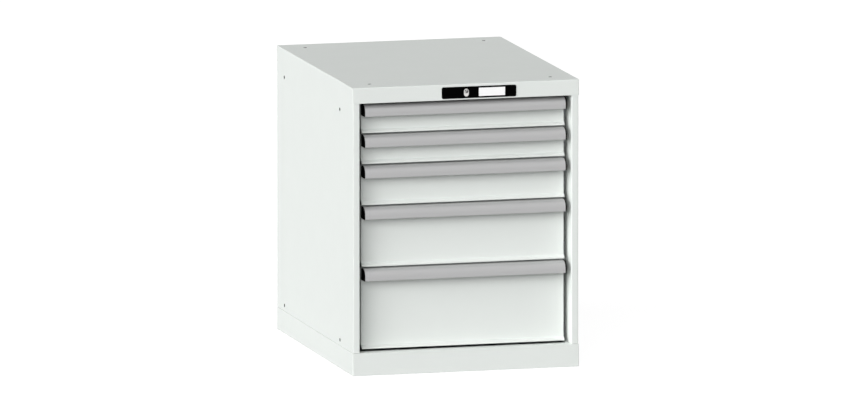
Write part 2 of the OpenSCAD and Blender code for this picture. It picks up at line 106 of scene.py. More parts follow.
# the stage: lamps as name, azimuth, elevation, strength, spread and shown in gloss, in degrees
AMBIENT = 0.195
LAMPS = (
    ("key_lamp", -36.0, 15.0, 0.715, 50.0, False),
    ("side_lamp", -70.0, 18.0, 0.56, 30.0, False),
    ("front_lamp", 0.0, 6.0, 0.13, 70.0, False),
    ("top_lamp", -38.0, 66.0, 0.11, 40.0, True),
    ("rear_lamp", 122.0, 2.0, 0.50, 12.0, False),
)
FLOOR_HALF = 60.0
FLOOR_DROP = 0.0004
FLOOR_SHADE = 0.25
FLOOR_GLOW = 0.90
WHITE = (1.0, 1.0, 1.0, 1.0)

# the view: azimuth and elevation in degrees, and the width of the picture at the cabinet
VIEW_AZIMUTH = -15.0
VIEW_ELEVATION = 9.0
VIEW_CENTRE = (0.0, 0.0, 0.35)
VIEW_WIDTH = 2.0623
VIEW_BACK = 0.143
LENS = 800.0
SENSOR = 36.0
CLIP_START = 1.0


# Sizes and colours that a user may change

def length(name, description, default):
    """A length in metres, as a property."""
    return FloatProperty(
        name=name, description=description, default=default, min=0.0, precision=5,
        subtype="DISTANCE", unit="LENGTH",
    )


def colour(name, description, default):
    """A linear colour, as a property."""
    return FloatVectorProperty(
        name=name, description=description, default=default, min=0.0, max=1.0,
        size=3, subtype="COLOR",
    )


class CabinetSizes(bpy.types.PropertyGroup):
    """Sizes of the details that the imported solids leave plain."""
    sheet_edge: length("Sheet edge", "Rounding of the housing's and the fronts' edges", 0.0004)
    sheet_bend: length("Sheet bend", "Outer radius of the housing's bends", 0.0018)
    front_bend: length("Front bend", "Outer radius of the drawer fronts' bends", 0.001)
    tray_edge: length("Tray edge", "Rounding of the trays' edges", 0.0003)
    handle_edge: length("Handle edge", "Rounding of the handles' long edges", 0.0006)
    cap_edge: length("Cap edge", "Rounding of the handles' end caps", 0.0008)
    runner_edge: length("Runner edge", "Rounding of the rails and the carriages", 0.0004)
    roller_edge: length("Roller edge", "Rounding of the rollers' rims", 0.0008)
    lock_edge: length("Lock edge", "Rounding of the lock's plate and face", 0.0005)
    plug_edge: length("Plug edge", "Rounding of the lock's plug and keyway", 0.0002)
    slot_width: length("Slot width", "Width of the slots in the trays' walls", 0.005)
    slot_height: length("Slot height", "Height of the slots in the trays' walls", 0.015)
    slot_pitch: length("Slot pitch", "Spacing of the slots, along the walls and upwards", 0.025)
    slot_lift: length("First slot row", "First row of slots above a tray's underside", 0.036)
    rivet_radius: length("Rivet radius", "Radius of the rivets that hold the drawer rails", 0.0035)
    rivet_height: length("Rivet height", "Height of the rivets' domes", 0.0012)
    rivet_count: IntProperty(
        name="Rivets", description="Rivets along each drawer rail", default=5, min=2)
    rivet_margin: length("Rivet margin", "First and last rivets from a rail's ends", 0.06)
    screw_count: IntProperty(
        name="Screws", description="Screws along each side of the rear panel", default=4, min=2)
    screw_radius: length("Screw head radius", "Radius of the rear screws' heads", 0.004)
    # sizes of the dark sleeves that paint the shade inside the fixing holes
    shade_liner_wall: length("Liner wall", "Wall of the liners in the fixing holes", 0.0003)
    shade_liner_depth: length("Liner depth", "Length of the liners in the fixing holes", 0.003)
    shade_liner_inset: length("Liner inset", "Liners behind the sheet's face", 0.0001)
    label_rim: length("Label rim", "Width of the rim around the label card", 0.0018)
    label_rim_height: length("Label rim height", "How far the label's rim stands out", 0.0008)


class CabinetColours(bpy.types.PropertyGroup):
    """Base colours of the finishes."""
    paint: colour("Paint", "Light grey powder coat", (0.760, 0.792, 0.768))
    alloy: colour("Anodised alloy", "Handles", (0.455, 0.455, 0.457))
    plastic: colour("Black plastic", "End caps and lock plate", (0.001, 0.001, 0.001))
    nickel: colour("Nickel", "Lock face and plug", (0.70, 0.69, 0.67))
    zinc: colour("Zinc plate", "Rails, lock rod, locking bar and screws", (0.60, 0.62, 0.64))
    roller: colour("Roller steel", "Rollers", (0.55, 0.55, 0.54))
    card: colour("Label card", "Blank card in the lock plate", (0.98, 0.98, 0.98))
    floor: colour("Floor", "Plain studio floor", (0.28, 0.28, 0.28))


# Node trees

class NodeTree:
    """Adds nodes to a tree and joins their sockets."""

    def __init__(self, tree):
        self.tree = tree

    def add(self, kind, inputs=None, **settings):
        """A new node; each input is a value or another node's output."""
        node = self.tree.nodes.new(kind)
        for key, value in settings.items():
            setattr(node, key, value)
        for key, value in (inputs or {}).items():
            if isinstance(value, bpy.types.NodeSocket):
                self.tree.links.new(value, node.inputs[key])
            else:
                node.inputs[key].default_value = value
        return node

    def first(self, kind, inputs=None, **settings):
        """A new node's first output."""
        return self.add(kind, inputs, **settings).outputs[0]

    def reckon(self, operation, left, right):
        """The result of an operation on two numbers."""
        return self.first("ShaderNodeMath", {0: left, 1: right}, operation=operation)


def geometry_tree(name, inputs):
    """An empty geometry tree with named inputs, and its group input node."""
    tree = bpy.data.node_groups.new(name, "GeometryNodeTree")
    tree.interface.new_socket("Geometry", in_out="INPUT", socket_type="NodeSocketGeometry")
    for label, kind in inputs:
        tree.interface.new_socket(label, in_out="INPUT", socket_type="NodeSocket" + kind)
    tree.interface.new_socket("Geometry", in_out="OUTPUT", socket_type="NodeSocketGeometry")
    nodes = NodeTree(tree)
    return nodes, nodes.add("NodeGroupInput").outputs


def close_tree(nodes, geometry, material):
    """Ends a tree in real geometry with its finish on it."""
    real = nodes.first("GeometryNodeRealizeInstances", {"Geometry": geometry})
    painted = nodes.first("GeometryNodeSetMaterial", {"Geometry": real, "Material": material})
    nodes.add("NodeGroupOutput", {"Geometry": painted})
    return nodes.tree


def apply_tree(piece, tree, values):
    """Runs a geometry tree on a piece with the given inputs."""
    modifier = piece.modifiers.new(tree.name, "NODES")
    modifier.node_group = tree
    for item in tree.interface.items_tree:
        if item.in_out == "INPUT" and item.name in values:
            modifier[item.identifier] = values[item.name]
    bake(piece)


def bake(piece):
    """Turns a piece's modifiers into plain geometry."""
    bpy.context.view_layer.update()
    depsgraph = bpy.context.evaluated_depsgraph_get()
    mesh = bpy.data.meshes.new_from_object(
        piece.evaluated_get(depsgraph), preserve_all_data_layers=True, depsgraph=depsgraph)
    piece.modifiers.clear()
    old = piece.data
    piece.data = mesh
    bpy.data.meshes.remove(old)
    mesh.name = piece.name


# Pieces

def new_piece(name, mesh, material):
    """A mesh as an object at the origin, with its finish."""
    piece = bpy.data.objects.new(name, mesh)
    bpy.context.scene.collection.objects.link(piece)
    mesh.materials.clear()
    mesh.materials.append(material)
    return piece


def merged_copy(node):
    """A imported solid's mesh with its loose triangles joined into whole faces."""
    if node not in frame["nodes"]:
        raise RuntimeError(f"the packed model has no node named {node}")
    source = frame["nodes"][node].data
    mesh = bpy.data.meshes.new(node + "_mesh")
    mesh.from_pydata(
        [vertex.co for vertex in source.vertices], [],
        [face.vertices for face in source.polygons])
    shape = bmesh.new()
    shape.from_mesh(mesh)
    bmesh.ops.remove_doubles(shape, verts=shape.verts, dist=MERGE_DISTANCE)
    bmesh.ops.dissolve_limit(
        shape, angle_limit=FLAT_ANGLE, verts=shape.verts, edges=shape.edges)
    for face in shape.faces:
        face.smooth = True
    shape.to_mesh(mesh)
    shape.free()
    return mesh


def is_bend(edge, surface):
    """Whether a sheet is folded at an edge, with flat sheet on both sides of it."""
    if not edge.is_convex:
        return False
    middle = (edge.verts[0].co + edge.verts[1].co) / 2
    for loop in edge.link_loops:
        normal = loop.face.normal
        along = loop.link_loop_next.vert.co - loop.vert.co
        inward = normal.cross(along).normalized()
        _, found, _, distance = surface.find_nearest(middle + inward * BEND_REACH)
        if distance > MERGE_DISTANCE or found.dot(normal) < math.cos(FLAT_ANGLE):
            return False
    return True


def round_edges(piece, radius, steps, bends_only):
    """Rounds a piece's sharp edges, or only those where its sheet is folded."""
    shape = bmesh.new()
    shape.from_mesh(piece.data)
    layers = shape.edges.layers.float
    weight = layers.get(WEIGHT_LAYER) or layers.new(WEIGHT_LAYER)
    surface = BVHTree.FromBMesh(shape)
    for edge in shape.edges:
        sharp = len(edge.link_faces) == 2 and edge.calc_face_angle() > SHARP_ANGLE
        edge[weight] = float(sharp and (not bends_only or is_bend(edge, surface)))
    shape.to_mesh(piece.data)
    shape.free()
    bevel = piece.modifiers.new("edges", "BEVEL")
    bevel.width = radius
    bevel.segments = steps
    bevel.limit_method = "WEIGHT"
    bake(piece)


def soften(piece, radius, steps=PLAIN_STEPS, bend=0.0):
    """Rounds the bends of a sheet by their own radius, and then every edge that is left sharp."""
    if bend:
        round_edges(piece, bend, steps, bends_only=True)
    round_edges(piece, radius, steps, bends_only=False)


def settle(piece, body, slot, *nodes):
    """Evens out a piece's shading, and puts it on its body in place of its solids."""
    for face in piece.data.polygons:
        face.use_smooth = True
    piece.data.set_sharp_from_angle(angle=SHARP_ANGLE)
    weighted = piece.modifiers.new("shading", "WEIGHTED_NORMAL")
    weighted.keep_sharp = True
    bake(piece)
    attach(piece, body)
    if nodes:
        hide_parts(*nodes)
    return piece


def dress(node, radius, slot, steps=PLAIN_STEPS, bend=0.0, look=None):
    """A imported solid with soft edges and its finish, in the solid's place."""
    piece = new_piece(node + "_finish", merged_copy(node), look or finish(slot))
    soften(piece, radius, steps, bend)
    return settle(piece, BODY_OF[node], slot, node)


# Finishes

def start_finish(name):
    """A new material, its nodes, its principled shader and the place on the piece in metres."""
    material = bpy.data.materials.new(name)
    material.use_nodes = True
    material.node_tree.nodes.clear()
    nodes = NodeTree(material.node_tree)
    shader = nodes.add("ShaderNodeBsdfPrincipled")
    nodes.add("ShaderNodeOutputMaterial", {"Surface": shader.outputs[0]})
    place = nodes.add("ShaderNodeTexCoord").outputs["Object"]
    return material, nodes, shader, place


def noise(nodes, place, scale=1.0, detail=2.0, stretch=None):
    """Noise at a scale per metre, stretched along the axes where asked."""
    if stretch:
        place = nodes.first("ShaderNodeMapping", {"Vector": place, "Scale": stretch})
    return nodes.add(
        "ShaderNodeTexNoise", {"Vector": place, "Scale": scale, "Detail": detail}
    ).outputs["Fac"]


def between(nodes, factor, low, high, start=0.3, end=0.7):
    """Turns a pattern into a number between two values."""
    return nodes.add("ShaderNodeMapRange", {
        "Value": factor, "From Min": start, "From Max": end, "To Min": low, "To Max": high,
    }).outputs["Result"]


def blend(nodes, factor, low, high):
    """A colour between two, by a pattern; each is a colour or another node's output."""
    return nodes.add(
        "ShaderNodeMix", {MIX_FACTOR: factor, MIX_LOW: low, MIX_HIGH: high}, data_type="RGBA"
    ).outputs[MIX_RESULT]


def tones(nodes, factor, base, spread):
    """A colour that varies by a pattern around its base."""
    low, high = [
        (*[min(c * share, 1.0) for c in base], 1.0) for share in (1.0 - spread, 1.0 + spread)]
    return blend(nodes, factor, low, high)


def coat(nodes, shader, base, roughness, even=None):
    """Joins the patterns of colour and gloss to the shader, and sets what is even all over."""
    nodes.tree.links.new(base, shader.inputs["Base Color"])
    nodes.tree.links.new(roughness, shader.inputs["Roughness"])
    for socket, value in (even or {}).items():
        shader.inputs[socket].default_value = value


def relief(nodes, shader, height, strength, distance):
    """Small ups and downs of the surface."""
    bump = nodes.first("ShaderNodeBump", {
        "Height": height, "Strength": strength, "Distance": distance})
    nodes.tree.links.new(bump, shader.inputs["Normal"])


def colours():
    """The base colours as they are set in the scene."""
    return bpy.context.scene.cabinet_colours


def powder_coat():
    """Matt powder coat with a fine orange peel."""
    material, nodes, shader, place = start_finish("light_grey_powder_coat")
    cloud = noise(nodes, place, scale=14.0)
    gloss = noise(nodes, place, scale=90.0)
    peel = noise(nodes, place, scale=620.0, detail=1.5)
    coat(nodes, shader, tones(nodes, cloud, colours().paint, spread=0.012),
         between(nodes, gloss, low=0.56, high=0.68), {"Specular IOR Level": 0.18})
    relief(nodes, shader, peel, strength=0.10, distance=0.0003)
    return material


def anodised_alloy():
    """Satin anodised extrusion, with drawing lines along its length."""
    material, nodes, shader, place = start_finish("satin_anodised_alloy")
    lines = noise(nodes, place, detail=3.0, stretch=(2.5, 1400.0, 1400.0))
    coat(nodes, shader, tones(nodes, lines, colours().alloy, spread=0.035),
         between(nodes, lines, low=0.40, high=0.52), {"Metallic": 0.35})
    relief(nodes, shader, lines, strength=0.06, distance=0.0002)
    return material


def black_plastic():
    """Moulded plastic with a fine spark-eroded grain."""
    material, nodes, shader, place = start_finish("moulded_black_plastic")
    cloud = noise(nodes, place, scale=60.0)
    grain = noise(nodes, place, scale=1700.0)
    coat(nodes, shader, tones(nodes, cloud, colours().plastic, spread=0.2),
         between(nodes, grain, low=0.46, high=0.60), {"Specular IOR Level": 0.01})
    relief(nodes, shader, grain, strength=0.15, distance=0.0002)
    return material


def painted_shade_behind(face):
    """Painted shade on what lies deeper than a face which looks forward."""
    def mask(nodes, place):
        depth = nodes.add("ShaderNodeSeparateXYZ", {"Vector": place}).outputs["Y"]
        return between(
            nodes, depth, low=0.0, high=1.0, start=face + PAINTED_SHADE_START, end=face + PAINTED_SHADE_FULL)
    return mask


def painted_shade_within(axis, radius):
    """Painted shade on the wall of a bore that runs from front to rear."""
    def mask(nodes, place):
        flat = nodes.add(
            "ShaderNodeVectorMath", {0: place, 1: X_AXIS + Z_AXIS}, operation="MULTIPLY")
        away = nodes.add(
            "ShaderNodeVectorMath", {0: flat.outputs["Vector"], 1: (axis.x, 0.0, axis.z)},
            operation="DISTANCE")
        return between(
            nodes, away.outputs["Value"], low=1.0, high=0.0,
            start=radius + PAINTED_SHADE_START, end=radius + PAINTED_SHADE_FULL)
    return mask


def nickel_plate(name="bright_nickel", painted_shade=None):
    """Bright plating with fine wiping marks, and painted shade where a mask is given."""
    material, nodes, shader, place = start_finish(name)
    marks = noise(nodes, place, detail=3.0, stretch=(500.0, 500.0, 3500.0))
    base = tones(nodes, marks, colours().nickel, spread=0.05)
    even = {"Metallic": 1.0}
    if painted_shade:
        # painted shade: the masked part turns near black and loses its metal and its gloss
        shaded = painted_shade(nodes, place)
        base = blend(nodes, shaded, base, PAINTED_SHADE_COLOUR)
        unshaded = between(nodes, shaded, low=1.0, high=0.0, start=0.0, end=1.0)
        nodes.tree.links.new(unshaded, shader.inputs["Metallic"])
        even["Specular IOR Level"] = 0.0
    coat(nodes, shader, base, between(nodes, marks, low=0.20, high=0.34), even)
    relief(nodes, shader, marks, strength=0.05, distance=0.0001)
    return material


def zinc_plate():
    """Galvanised sheet with its spangle."""
    material, nodes, shader, place = start_finish("spangled_zinc")
    spangle = nodes.add("ShaderNodeTexVoronoi", {"Vector": place, "Scale": 150.0})
    cell = nodes.first("ShaderNodeSeparateColor", {"Color": spangle.outputs["Color"]})
    coat(nodes, shader, tones(nodes, cell, colours().zinc, spread=0.07),
         between(nodes, cell, low=0.34, high=0.50, start=0.0, end=1.0), {"Metallic": 0.9})
    relief(nodes, shader, noise(nodes, place, scale=900.0), strength=0.05, distance=0.0002)
    return material


def roller_steel():
    """Turned steel with tool marks round the rollers."""
    material, nodes, shader, place = start_finish("turned_steel")
    rings = noise(nodes, place, stretch=(2600.0, 25.0, 25.0))
    coat(nodes, shader, tones(nodes, rings, colours().roller, spread=0.08),
         between(nodes, rings, low=0.24, high=0.40), {"Metallic": 1.0})
    relief(nodes, shader, rings, strength=0.10, distance=0.0001)
    return material


def label_paper():
    """Plain white card with a little fibre."""
    material, nodes, shader, place = start_finish("plain_card")
    fibre = noise(nodes, place, detail=4.0, stretch=(900.0, 900.0, 2400.0))
    coat(nodes, shader, tones(nodes, fibre, colours().card, spread=0.012),
         between(nodes, fibre, low=0.75, high=0.9), {"Specular IOR Level": 0.2})
    relief(nodes, shader, fibre, strength=0.08, distance=0.0001)
    return material


FINISHES = {
    "light_grey_paint": powder_coat,
    "anodised_aluminium": anodised_alloy,
    "black_plastic": black_plastic,
    "nickel": nickel_plate,
    "zinc_steel": zinc_plate,
    "roller_steel": roller_steel,
    "white_card": label_paper,
}
made_finishes = {}


def finish(slot):
    """The material of one of the record's slots, made once."""
    if slot not in made_finishes:
        made_finishes[slot] = FINISHES[slot]()
    return made_finishes[slot]


# What repeats

def set_on(nodes, points, shape):
    """A shape on every point."""
    return nodes.first("GeometryNodeInstanceOnPoints", {"Points": points, "Instance": shape})


def move(nodes, shape, **change):
    """A shape after a translation, rotation or scale."""
    return nodes.first("GeometryNodeTransform", {"Geometry": shape, **change})


def join(nodes, *shapes):
    """Shapes in one geometry."""
    joined = nodes.add("GeometryNodeJoinGeometry")
    for shape in shapes:
        nodes.tree.links.new(shape, joined.inputs[0])
    return joined.outputs[0]


def cut_away(nodes, solid, *cutters):
    """A solid without what the cutters take."""
    cut = nodes.add("GeometryNodeMeshBoolean", operation="DIFFERENCE", solver="EXACT")
    nodes.tree.links.new(solid, cut.inputs["Mesh 1"])
    for cutter in cutters:
        nodes.tree.links.new(cutter, cut.inputs["Mesh 2"])
    return cut.outputs["Mesh"]


def lattice(nodes, given, first, columns, rows):
    """Points in columns and rows from a first place, by the tree's two steps."""
    line = nodes.first("GeometryNodeMeshLine", {
        "Count": columns, "Start Location": given[first], "Offset": given["Column step"]})
    row = nodes.first("GeometryNodeMeshLine", {"Count": rows, "Offset": given["Row step"]})
    return nodes.first("GeometryNodeRealizeInstances", {"Geometry": set_on(nodes, line, row)})


def two_rows(nodes, given, first, shape):
    """A shape along two rows that face each other across the tree's span."""
    line = nodes.first("GeometryNodeMeshLine", {
        "Count": given["Count"], "Start Location": given[first], "Offset": given["Step"]})
    row = set_on(nodes, line, shape)
    return join(nodes, row, move(nodes, row, Translation=given["Span"]))


def slot_tree(material):
    """Cuts rows of slots through a tray's walls."""
    nodes, given = geometry_tree("wall_slots", [
        ("First slot", "Vector"), ("Column step", "Vector"), ("Columns", "Int"),
        ("Row step", "Vector"), ("Rows", "Int"), ("Cutter", "Vector"),
    ])
    points = lattice(nodes, given, "First slot", given["Columns"], given["Rows"])
    cutter = nodes.first("GeometryNodeMeshCube", {"Size": given["Cutter"]})
    cutters = nodes.first(
        "GeometryNodeRealizeInstances", {"Geometry": set_on(nodes, points, cutter)})
    return close_tree(nodes, cut_away(nodes, given["Geometry"], cutters), material)


def rivet_tree(material):
    """Two rows of domed rivets that face each other across a tray."""
    nodes, given = geometry_tree("rivet_rows", [
        ("First rivet", "Vector"), ("Step", "Vector"), ("Count", "Int"), ("Span", "Vector"),
        ("Dome", "Vector"),
    ])
    ball = nodes.first("GeometryNodeMeshUVSphere", {
        "Segments": DOME_SEGMENTS, "Rings": DOME_RINGS, "Radius": 1.0})
    dome = move(nodes, ball, Scale=given["Dome"])
    return close_tree(nodes, two_rows(nodes, given, "First rivet", dome), material)


def screw_tree(material):
    """Two rows of cross-recessed pan heads on the rear panel, with their shanks."""
    nodes, given = geometry_tree("screw_rows", [
        ("First screw", "Vector"), ("Step", "Vector"), ("Count", "Int"), ("Span", "Vector"),
        ("Head radius", "Float"), ("Head height", "Float"),
        ("Shank radius", "Float"), ("Length", "Float"), ("Recess", "Vector"),
    ])
    head = nodes.first("GeometryNodeMeshCone", {
        "Vertices": ROUND_SIDES, "Radius Bottom": given["Head radius"],
        "Radius Top": nodes.reckon("MULTIPLY", given["Head radius"], SCREW_CROWN),
        "Depth": given["Head height"]})
    slot = nodes.first("GeometryNodeMeshCube", {"Size": given["Recess"]})
    across = move(nodes, slot, Rotation=(0.0, 0.0, QUARTER_TURN))
    top = nodes.first("ShaderNodeCombineXYZ", {"Z": given["Head height"]})
    recessed = cut_away(
        nodes, head, *[move(nodes, bar, Translation=top) for bar in (slot, across)])
    shank = nodes.first("GeometryNodeMeshCylinder", {
        "Vertices": SHANK_SIDES, "Radius": given["Shank radius"], "Depth": given["Length"]})
    half_down = nodes.reckon("MULTIPLY", given["Length"], -0.5)
    down = nodes.first("ShaderNodeCombineXYZ", {"Z": half_down})
    screw = join(nodes, recessed, move(nodes, shank, Translation=down))
    facing = move(nodes, screw, Rotation=(-QUARTER_TURN, 0.0, 0.0))
    return close_tree(nodes, two_rows(nodes, given, "First screw", facing), material)


def shade_liner_tree(material):
    """Four thin sleeves at the corners of a rectangle of holes; in black they are painted shade
    inside the holes.
    """
    nodes, given = geometry_tree("hole_liners", [
        ("First hole", "Vector"), ("Column step", "Vector"), ("Row step", "Vector"),
        ("Turn", "Vector"), ("Radius", "Float"), ("Wall", "Float"), ("Depth", "Float"),
    ])
    body = nodes.first("GeometryNodeMeshCylinder", {
        "Vertices": ROUND_SIDES, "Radius": given["Radius"], "Depth": given["Depth"]})
    bore = nodes.first("GeometryNodeMeshCylinder", {
        "Vertices": ROUND_SIDES,
        "Radius": nodes.reckon("SUBTRACT", given["Radius"], given["Wall"]),
        "Depth": nodes.reckon("MULTIPLY", given["Depth"], 2.0)})
    turned = move(nodes, cut_away(nodes, body, bore), Rotation=given["Turn"])
    corners = lattice(nodes, given, "First hole", columns=2, rows=2)
    return close_tree(nodes, set_on(nodes, corners, turned), material)


# Operators, one for each piece or group of like pieces

class CABINET_OT_housing(bpy.types.Operator):
    """Cover, sides, rear, plinth, floor and uprights in powder coat"""
    bl_idname = "cabinet.housing"
    bl_label = "Housing"

    def execute(self, context):
        sizes = context.scene.cabinet_sizes
        for node in ("top_cover", "left_side_panel", "right_side_panel", "rear_panel",
                     "base_frame", "floor_panel", "left_uprights", "right_uprights"):
            dress(node, sizes.sheet_edge, "light_grey_paint", FINE_STEPS, sizes.sheet_bend)
        return {"FINISHED"}


class CABINET_OT_hole_shade_liners(bpy.types.Operator):
    """Dark sleeves in the fixing holes of the cover and the sides, as painted shade inside the holes
    """
    bl_idname = "cabinet.hole_liners"
    bl_label = "Hole liners"

    def execute(self, context):
        sizes = context.scene.cabinet_sizes
        # black sleeves: painted shade inside the fixing holes
        tree = shade_liner_tree(finish("black_plastic"))
        for mount in frame["record"]["mounts"]:
            if mount["kind"] == "bolt_pattern":
                self.line(mount, tree, sizes)
        return {"FINISHED"}

    def line(self, mount, tree, sizes):
        """Dark sleeves as painted shade in one pattern of four holes."""
        dims = mount["dims"]
        facing = Vector(mount["axis"])
        upright = abs(facing.z) > abs(facing.x)
        column, row = (X_AXIS, Y_AXIS) if upright else (Y_AXIS, Z_AXIS)
        column = column * dims["spacing_x_mm"] / MM_PER_M
        row = row * dims["spacing_y_mm"] / MM_PER_M
        middle = Vector(mount["pos_m"]) - facing * (sizes.shade_liner_inset + sizes.shade_liner_depth / 2)
        piece = new_piece(
            mount["name"] + "_liners", bpy.data.meshes.new("liners"), finish("black_plastic"))
        apply_tree(piece, tree, {
            "First hole": middle - (column + row) / 2,
            "Column step": column, "Row step": row,
            "Turn": (0.0, 0.0 if upright else QUARTER_TURN, 0.0),
            "Radius": dims["hole_r_mm"] / MM_PER_M,
            "Wall": sizes.shade_liner_wall, "Depth": sizes.shade_liner_depth,
        })
        settle(piece, "housing", "black_plastic")


class CABINET_OT_rear_screws(bpy.types.Operator):
    """Screws with cross recesses that hold the rear panel"""
    bl_idname = "cabinet.rear_screws"
    bl_label = "Rear screws"

    def execute(self, context):
        sizes = context.scene.cabinet_sizes
        low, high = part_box("rear_screws")
        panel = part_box("rear_panel")[1].y
        head = high.y - panel
        radius = sizes.screw_radius
        zinc = finish("zinc_steel")
        piece = new_piece("rear_screws_finish", bpy.data.meshes.new("screws"), zinc)
        apply_tree(piece, screw_tree(zinc), {
            "First screw": (low.x + radius, panel, low.z + radius),
            "Step": (0.0, 0.0, (high.z - low.z - 2 * radius) / (sizes.screw_count - 1)),
            "Count": sizes.screw_count,
            "Span": (high.x - low.x - 2 * radius, 0.0, 0.0),
            "Head radius": radius,
            "Head height": head,
            "Shank radius": radius * SCREW_SHANK,
            "Length": panel - low.y,
            "Recess": (radius * RECESS_LENGTH, radius * RECESS_WIDTH, head * RECESS_CUTTER),
        })
        settle(piece, "housing", "zinc_steel", "rear_screws")
        return {"FINISHED"}


class CABINET_OT_runners(bpy.types.Operator):
    """Rails, carriages and rollers of the drawers"""
    bl_idname = "cabinet.runners"
    bl_label = "Runners"

    def execute(self, context):
        sizes = context.scene.cabinet_sizes
        for node in ("left_cabinet_rails", "right_cabinet_rails"):
            dress(node, sizes.runner_edge, "zinc_steel")
        for n in DRAWERS:
            for part in ("rails", "carriages"):
                dress(f"drawer_{n}_{part}", sizes.runner_edge, "zinc_steel")
            for part in ("front_rollers", "rear_rollers"):
                dress(f"drawer_{n}_{part}", sizes.roller_edge, "roller_steel", FINE_STEPS)
        return {"FINISHED"}


class CABINET_OT_trays(bpy.types.Operator):
    """Slotted trays, and the rivets that hold their rails"""
    bl_idname = "cabinet.trays"
    bl_label = "Trays"

    def execute(self, context):
        sizes = context.scene.cabinet_sizes
        slots = slot_tree(finish("light_grey_paint"))
        rivets = rivet_tree(finish("zinc_steel"))
        for n in DRAWERS:
            node = f"drawer_{n}_tray"
            piece = new_piece(node + "_finish", merged_copy(node), finish("light_grey_paint"))
            soften(piece, sizes.tray_edge)
            self.cut_slots(piece, n, slots, sizes)
            settle(piece, f"drawer_{n}", "light_grey_paint", node)
            self.set_rivets(n, rivets, sizes)
        return {"FINISHED"}

    def cut_slots(self, piece, n, tree, sizes):
        """Slots for dividers, first across the side walls and then across the end walls."""
        low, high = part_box(f"drawer_{n}_tray")
        depth = (low.y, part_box(f"drawer_{n}_rails")[1].y)
        pitch = sizes.slot_pitch
        first_z = low.z + sizes.slot_lift + sizes.slot_height / 2
        rows = int((high.z - low.z - sizes.slot_lift - sizes.slot_height) / pitch) + 1
        for axis, ends in ((1, depth), (0, (low.x, high.x))):
            columns = int((ends[1] - ends[0] - pitch) / pitch)
            start = [0.0, sum(depth) / 2, first_z]
            start[axis] = sum(ends) / 2 - (columns - 1) * pitch / 2
            step = [0.0, 0.0, 0.0]
            step[axis] = pitch
            # long enough to pass through both of the walls
            cutter = [2 * (high.x - low.x), 2 * (depth[1] - depth[0]), sizes.slot_height]
            cutter[axis] = sizes.slot_width
            apply_tree(piece, tree, {
                "First slot": start, "Column step": step, "Columns": columns,
                "Row step": (0.0, 0.0, pitch), "Rows": rows, "Cutter": cutter,
            })

    def set_rivets(self, n, tree, sizes):
        """Rivets through the tray's side walls into the drawer rails."""
        low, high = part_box(f"drawer_{n}_rails")
        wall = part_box(f"drawer_{n}_tray")[1].x - TRAY_SHEET
        margin = sizes.rivet_margin
        step = (high.y - low.y - 2 * margin) / (sizes.rivet_count - 1)
        piece = new_piece(
            f"drawer_{n}_rivets", bpy.data.meshes.new("rivets"), finish("zinc_steel"))
        apply_tree(piece, tree, {
            "First rivet": (-wall, low.y + margin, (low.z + high.z) / 2),
            "Step": (0.0, step, 0.0), "Count": sizes.rivet_count, "Span": (2 * wall, 0.0, 0.0),
            "Dome": (sizes.rivet_height, sizes.rivet_radius, sizes.rivet_radius),
        })
        settle(piece, f"drawer_{n}", "zinc_steel")


class CABINET_OT_fronts(bpy.types.Operator):
    """Drawer fronts with their lips"""
    bl_idname = "cabinet.fronts"
    bl_label = "Drawer fronts"

    def execute(self, context):
        sizes = context.scene.cabinet_sizes
        for n in DRAWERS:
            dress(f"drawer_{n}_front", sizes.sheet_edge, "light_grey_paint", FINE_STEPS,
                  sizes.front_bend)
        return {"FINISHED"}


class CABINET_OT_handles(bpy.types.Operator):
    """Hood handles with their end caps"""
    bl_idname = "cabinet.handles"
    bl_label = "Handles"

    def execute(self, context):
        sizes = context.scene.cabinet_sizes
        for n in DRAWERS:
            dress(f"drawer_{n}_handle", sizes.handle_edge, "anodised_aluminium")
            dress(f"drawer_{n}_end_caps", sizes.cap_edge, "black_plastic", FINE_STEPS)
        return {"FINISHED"}


class CABINET_OT_lock(bpy.types.Operator):
    """Lock plate with its label, lock, rod and locking bar"""
    bl_idname = "cabinet.lock"
    bl_label = "Lock"

    def execute(self, context):
        sizes = context.scene.cabinet_sizes
        dress("lock_plate", sizes.lock_edge, "black_plastic", FINE_STEPS)
        dress("label_card", sizes.lock_edge * CARD_ROUNDING, "white_card")
        low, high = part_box("lock_plug")
        # painted shade on the barrel's bore wall, within the plug's radius
        bore = nickel_plate("painted_shade_bore", painted_shade_within((low + high) / 2, (high.x - low.x) / 2))
        dress("lock_barrel", sizes.lock_edge, "nickel", FINE_STEPS, look=bore)
        # painted shade in the plug's keyway, behind the plug's front face
        keyway = nickel_plate("painted_shade_keyway", painted_shade_behind(low.y))
        dress("lock_plug", sizes.plug_edge, "nickel", FINE_STEPS, look=keyway)
        for node in ("lock_rod", "locking_bar", "bar_guides", "rod_bracket"):
            dress(node, sizes.runner_edge, "zinc_steel")
        self.frame_label(sizes)
        return {"FINISHED"}

    def frame_label(self, sizes):
        """A raised rim around the label card."""
        low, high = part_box("label_card")
        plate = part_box("lock_plate")[0].y
        raised = plate - sizes.label_rim_height
        rim = sizes.label_rim
        shape = bmesh.new()
        rings = []
        for grow, y in ((0.0, plate), (0.0, raised), (rim, raised), (rim, plate)):
            rings.append([
                shape.verts.new((x, y, z)) for x, z in (
                    (low.x - grow, low.z - grow), (high.x + grow, low.z - grow),
                    (high.x + grow, high.z + grow), (low.x - grow, high.z + grow))])
        for ring, after in zip(rings, rings[1:] + rings[:1]):
            for corners in zip(ring, ring[1:] + ring[:1], after[1:] + after[:1], after):
                shape.faces.new(corners)
        bmesh.ops.recalc_face_normals(shape, faces=shape.faces)
        mesh = bpy.data.meshes.new("label_rim")
        shape.to_mesh(mesh)
        shape.free()
        piece = new_piece("label_rim", mesh, finish("black_plastic"))
        soften(piece, sizes.label_rim_height * RIM_ROUNDING)
        settle(piece, "housing", "black_plastic")


